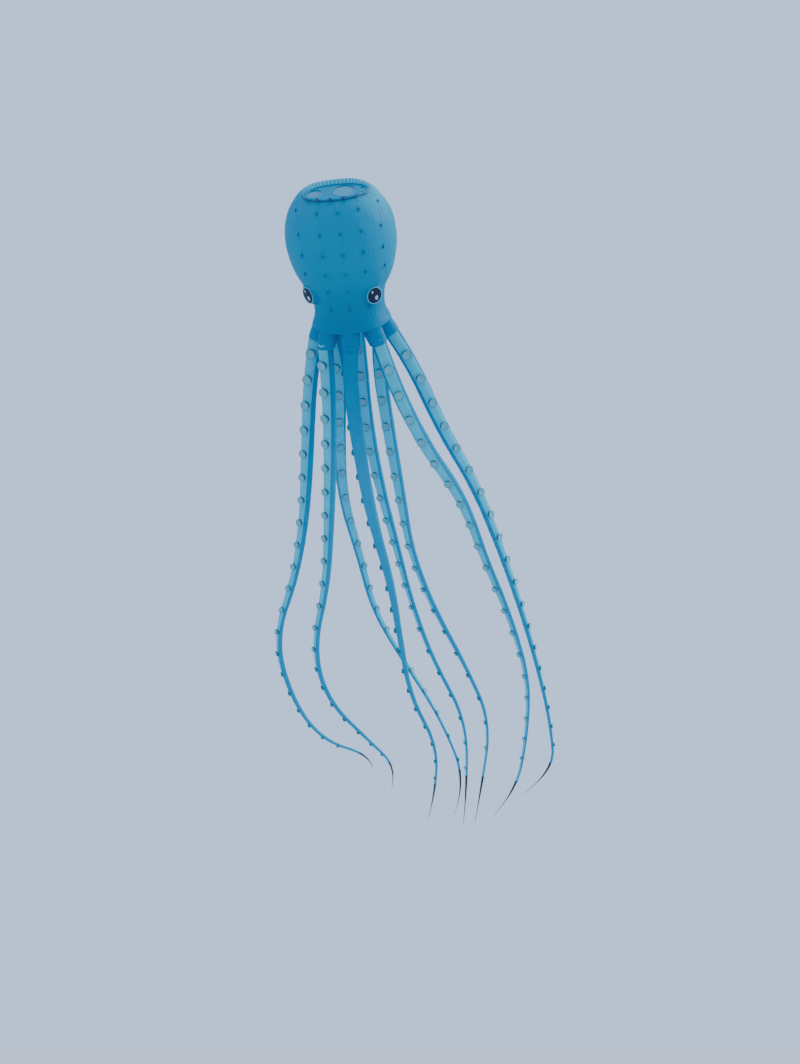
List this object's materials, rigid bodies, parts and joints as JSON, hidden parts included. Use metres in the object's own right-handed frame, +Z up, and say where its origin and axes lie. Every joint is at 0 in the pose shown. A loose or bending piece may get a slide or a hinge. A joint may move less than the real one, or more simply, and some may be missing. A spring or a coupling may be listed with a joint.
{
  "type": "octopus kite",
  "caption": "Air-filled octopus-shaped show kite in flight: ribbed balloon head with a meshed intake, padded eyes, and long tapering tentacles with suckers and black tips.",
  "frame": {"origin": "side face of the middle bridle tab on the belly, at the tab's centre, where the kite hangs on its bridle", "axes": "+Y downwind, from the intake towards the tentacle tips; +Z up; +X to the right as the flyer sees the kite"},
  "size_m": [9.7222, 19.6954, 12.6438],
  "materials": {
    "head_skin": "satin",
    "collar": "satin",
    "tentacle_back": "satin",
    "tentacle_sucker_side": "satin",
    "tip_black": "matte",
    "rib_cloth": "matte",
    "webbing": "matte",
    "intake_mesh": "matte",
    "eye_black": "satin"
  },
  "bodies": {
    "head": {"belly_panel_1": "head_skin", "belly_panel_2": "head_skin", "belly_panel_3": "head_skin", "belly_panel_4": "head_skin", "side_panel_right": "head_skin", "side_panel_left": "head_skin", "back_panel": "head_skin", "rib_1": "rib_cloth", "rib_2": "rib_cloth", "rib_3": "rib_cloth", "rib_4": "rib_cloth", "rib_5": "rib_cloth", "intake_hem": "webbing", "intake_mesh": "intake_mesh", "collar": "collar", "neck_closing_panel": "head_skin", "eye_mound_left": "head_skin", "eye_left": "eye_black", "eye_mound_right": "head_skin", "eye_right": "eye_black"},
    "tentacle_1_upper": {"tentacle_1_upper_sucker_panel": "tentacle_sucker_side", "tentacle_1_upper_back_panel": "tentacle_back"},
    "tentacle_1_lower": {"tentacle_1_lower_sucker_panel": "tentacle_sucker_side", "tentacle_1_lower_back_panel": "tentacle_back"},
    "tentacle_1_tip": {"tentacle_1_tip": "tip_black"},
    "tentacle_2_upper": {"tentacle_2_upper_sucker_panel": "tentacle_sucker_side", "tentacle_2_upper_back_panel": "tentacle_back"},
    "tentacle_2_lower": {"tentacle_2_lower_sucker_panel": "tentacle_sucker_side", "tentacle_2_lower_back_panel": "tentacle_back"},
    "tentacle_2_tip": {"tentacle_2_tip": "tip_black"},
    "tentacle_3_upper": {"tentacle_3_upper_sucker_panel": "tentacle_sucker_side", "tentacle_3_upper_back_panel": "tentacle_back"},
    "tentacle_3_lower": {"tentacle_3_lower_sucker_panel": "tentacle_sucker_side", "tentacle_3_lower_back_panel": "tentacle_back"},
    "tentacle_3_tip": {"tentacle_3_tip": "tip_black"},
    "tentacle_4_upper": {"tentacle_4_upper_sucker_panel": "tentacle_sucker_side", "tentacle_4_upper_back_panel": "tentacle_back"},
    "tentacle_4_lower": {"tentacle_4_lower_sucker_panel": "tentacle_sucker_side", "tentacle_4_lower_back_panel": "tentacle_back"},
    "tentacle_4_tip": {"tentacle_4_tip": "tip_black"},
    "tentacle_5_upper": {"tentacle_5_upper_sucker_panel": "tentacle_sucker_side", "tentacle_5_upper_back_panel": "tentacle_back"},
    "tentacle_5_lower": {"tentacle_5_lower_sucker_panel": "tentacle_sucker_side", "tentacle_5_lower_back_panel": "tentacle_back"},
    "tentacle_5_tip": {"tentacle_5_tip": "tip_black"},
    "tentacle_6_upper": {"tentacle_6_upper_sucker_panel": "tentacle_sucker_side", "tentacle_6_upper_back_panel": "tentacle_back"},
    "tentacle_6_lower": {"tentacle_6_lower_sucker_panel": "tentacle_sucker_side", "tentacle_6_lower_back_panel": "tentacle_back"},
    "tentacle_6_tip": {"tentacle_6_tip": "tip_black"},
    "tentacle_7_upper": {"tentacle_7_upper_sucker_panel": "tentacle_sucker_side", "tentacle_7_upper_back_panel": "tentacle_back"},
    "tentacle_7_lower": {"tentacle_7_lower_sucker_panel": "tentacle_sucker_side", "tentacle_7_lower_back_panel": "tentacle_back"},
    "tentacle_7_tip": {"tentacle_7_tip": "tip_black"},
    "tentacle_8_upper": {"tentacle_8_upper_sucker_panel": "tentacle_sucker_side", "tentacle_8_upper_back_panel": "tentacle_back"},
    "tentacle_8_lower": {"tentacle_8_lower_sucker_panel": "tentacle_sucker_side", "tentacle_8_lower_back_panel": "tentacle_back"},
    "tentacle_8_tip": {"tentacle_8_tip": "tip_black"}
  },
  "joints": [
    {"name": "tentacle_1_root", "type": "hinge", "parent": "head", "child": "tentacle_1_upper", "pos_m": [0.07679, 2.49668, -0.53109], "axis": [1, 0, 0], "range_deg": [-25, 2], "stiffness_Nm_per_rad": 240, "springref_deg": 13.33},
    {"name": "tentacle_1_knee", "type": "hinge", "parent": "tentacle_1_upper", "child": "tentacle_1_lower", "pos_m": [1.14051, 10.20321, -3.86087], "axis": [0.9814, -0.1919, 0], "range_deg": [-35, 5], "stiffness_Nm_per_rad": 90, "springref_deg": 7.75},
    {"name": "tentacle_1_tip_hinge", "type": "hinge", "parent": "tentacle_1_lower", "child": "tentacle_1_tip", "pos_m": [2.70325, 17.27725, -8.18248], "axis": [0.9961, 0.0881, 0], "range_deg": [-35, 5], "stiffness_Nm_per_rad": 8, "springref_deg": 1.52},
    {"name": "tentacle_2_root", "type": "hinge", "parent": "head", "child": "tentacle_2_upper", "pos_m": [0.80059, 2.54414, -0.24247], "axis": [1, 0, 0], "range_deg": [-25, 2], "stiffness_Nm_per_rad": 240, "springref_deg": 12.3},
    {"name": "tentacle_2_knee", "type": "hinge", "parent": "tentacle_2_upper", "child": "tentacle_2_lower", "pos_m": [4.29336, 9.60288, -3.31426], "axis": [0.889, -0.4578, 0], "range_deg": [-35, 4], "stiffness_Nm_per_rad": 90, "springref_deg": 6.96},
    {"name": "tentacle_2_tip_hinge", "type": "hinge", "parent": "tentacle_2_lower", "child": "tentacle_2_tip", "pos_m": [5.56243, 16.06202, -8.39849], "axis": [0.941, 0.3385, 0], "range_deg": [-35, 4], "stiffness_Nm_per_rad": 8, "springref_deg": 1.48},
    {"name": "tentacle_3_root", "type": "hinge", "parent": "head", "child": "tentacle_3_upper", "pos_m": [1.11147, 2.78756, 0.43099], "axis": [1, 0, 0], "range_deg": [-3, 14], "stiffness_Nm_per_rad": 240, "springref_deg": 11.79},
    {"name": "tentacle_3_knee", "type": "hinge", "parent": "tentacle_3_upper", "child": "tentacle_3_lower", "pos_m": [4.80397, 9.56242, -3.01453], "axis": [0.9038, -0.4281, 0], "range_deg": [-8, 30], "stiffness_Nm_per_rad": 90, "springref_deg": 7.29},
    {"name": "tentacle_3_tip_hinge", "type": "hinge", "parent": "tentacle_3_lower", "child": "tentacle_3_tip", "pos_m": [6.88707, 16.27586, -7.6884], "axis": [0.9618, 0.2737, 0], "range_deg": [-8, 30], "stiffness_Nm_per_rad": 8, "springref_deg": 1.46},
    {"name": "tentacle_4_root", "type": "hinge", "parent": "head", "child": "tentacle_4_upper", "pos_m": [0.82732, 3.08435, 1.09479], "axis": [1, 0, 0], "range_deg": [-3, 25], "stiffness_Nm_per_rad": 240, "springref_deg": 12.69},
    {"name": "tentacle_4_knee", "type": "hinge", "parent": "tentacle_4_upper", "child": "tentacle_4_lower", "pos_m": [1.91237, 10.74547, -2.32419], "axis": [0.9482, -0.3177, 0], "range_deg": [-8, 35], "stiffness_Nm_per_rad": 90, "springref_deg": 6.38},
    {"name": "tentacle_4_tip_hinge", "type": "hinge", "parent": "tentacle_4_lower", "child": "tentacle_4_tip", "pos_m": [4.33587, 15.70036, -8.34575], "axis": [0.9363, 0.3512, 0], "range_deg": [-8, 35], "stiffness_Nm_per_rad": 8, "springref_deg": 0.88},
    {"name": "tentacle_5_root", "type": "hinge", "parent": "head", "child": "tentacle_5_upper", "pos_m": [0.11458, 3.26066, 1.36007], "axis": [1, 0, 0], "range_deg": [-3, 25], "stiffness_Nm_per_rad": 240, "springref_deg": 12.66},
    {"name": "tentacle_5_knee", "type": "hinge", "parent": "tentacle_5_upper", "child": "tentacle_5_lower", "pos_m": [1.35453, 10.91705, -2.02562], "axis": [0.9629, -0.2699, 0], "range_deg": [-4, 35], "stiffness_Nm_per_rad": 90, "springref_deg": 6.1},
    {"name": "tentacle_5_tip_hinge", "type": "hinge", "parent": "tentacle_5_lower", "child": "tentacle_5_tip", "pos_m": [3.757, 15.65746, -8.33014], "axis": [0.9952, 0.0978, 0], "range_deg": [-4, 35], "stiffness_Nm_per_rad": 8, "springref_deg": 0.76},
    {"name": "tentacle_6_root", "type": "hinge", "parent": "head", "child": "tentacle_6_upper", "pos_m": [-0.60923, 3.2132, 1.07145], "axis": [1, 0, 0], "range_deg": [-2, 25], "stiffness_Nm_per_rad": 240, "springref_deg": 12.46},
    {"name": "tentacle_6_knee", "type": "hinge", "parent": "tentacle_6_upper", "child": "tentacle_6_lower", "pos_m": [0.09041, 10.8502, -2.43457], "axis": [0.9716, -0.2366, 0], "range_deg": [-5, 35], "stiffness_Nm_per_rad": 90, "springref_deg": 6.39},
    {"name": "tentacle_6_tip_hinge", "type": "hinge", "parent": "tentacle_6_lower", "child": "tentacle_6_tip", "pos_m": [3.53236, 15.81031, -8.07538], "axis": [0.9616, -0.2746, 0], "range_deg": [-5, 35], "stiffness_Nm_per_rad": 8, "springref_deg": 0.88},
    {"name": "tentacle_7_root", "type": "hinge", "parent": "head", "child": "tentacle_7_upper", "pos_m": [-0.92011, 2.96978, 0.39798], "axis": [1, 0, 0], "range_deg": [-14, 14], "stiffness_Nm_per_rad": 240, "springref_deg": 12.9},
    {"name": "tentacle_7_knee", "type": "hinge", "parent": "tentacle_7_upper", "child": "tentacle_7_lower", "pos_m": [-2.18169, 10.35586, -3.51647], "axis": [0.9324, 0.3613, 0], "range_deg": [-25, 25], "stiffness_Nm_per_rad": 90, "springref_deg": 6.26},
    {"name": "tentacle_7_tip_hinge", "type": "hinge", "parent": "tentacle_7_lower", "child": "tentacle_7_tip", "pos_m": [-0.11512, 16.95671, -7.09192], "axis": [0.8477, -0.5304, 0], "range_deg": [-25, 25], "stiffness_Nm_per_rad": 8, "springref_deg": 1.79},
    {"name": "tentacle_8_root", "type": "hinge", "parent": "head", "child": "tentacle_8_upper", "pos_m": [-0.63595, 2.67299, -0.26581], "axis": [1, 0, 0], "range_deg": [-25, 4], "stiffness_Nm_per_rad": 240, "springref_deg": 13.36},
    {"name": "tentacle_8_knee", "type": "hinge", "parent": "tentacle_8_upper", "child": "tentacle_8_lower", "pos_m": [-1.09734, 10.27385, -3.95306], "axis": [0.9774, 0.2116, 0], "range_deg": [-35, 8], "stiffness_Nm_per_rad": 90, "springref_deg": 7.14},
    {"name": "tentacle_8_tip_hinge", "type": "hinge", "parent": "tentacle_8_lower", "child": "tentacle_8_tip", "pos_m": [1.00051, 17.31766, -7.34343], "axis": [0.9638, -0.2666, 0], "range_deg": [-35, 8], "stiffness_Nm_per_rad": 8, "springref_deg": 1.72}
  ],
  "couplings": [
    {"joint": "tentacle_1_tip_hinge", "follows": "tentacle_1_knee", "ratio": 0.8},
    {"joint": "tentacle_2_tip_hinge", "follows": "tentacle_2_knee", "ratio": 0.8},
    {"joint": "tentacle_3_tip_hinge", "follows": "tentacle_3_knee", "ratio": 0.8},
    {"joint": "tentacle_4_tip_hinge", "follows": "tentacle_4_knee", "ratio": 0.8},
    {"joint": "tentacle_5_tip_hinge", "follows": "tentacle_5_knee", "ratio": 0.8},
    {"joint": "tentacle_6_tip_hinge", "follows": "tentacle_6_knee", "ratio": 0.8},
    {"joint": "tentacle_7_tip_hinge", "follows": "tentacle_7_knee", "ratio": 0.8},
    {"joint": "tentacle_8_tip_hinge", "follows": "tentacle_8_knee", "ratio": 0.8}
  ]
}
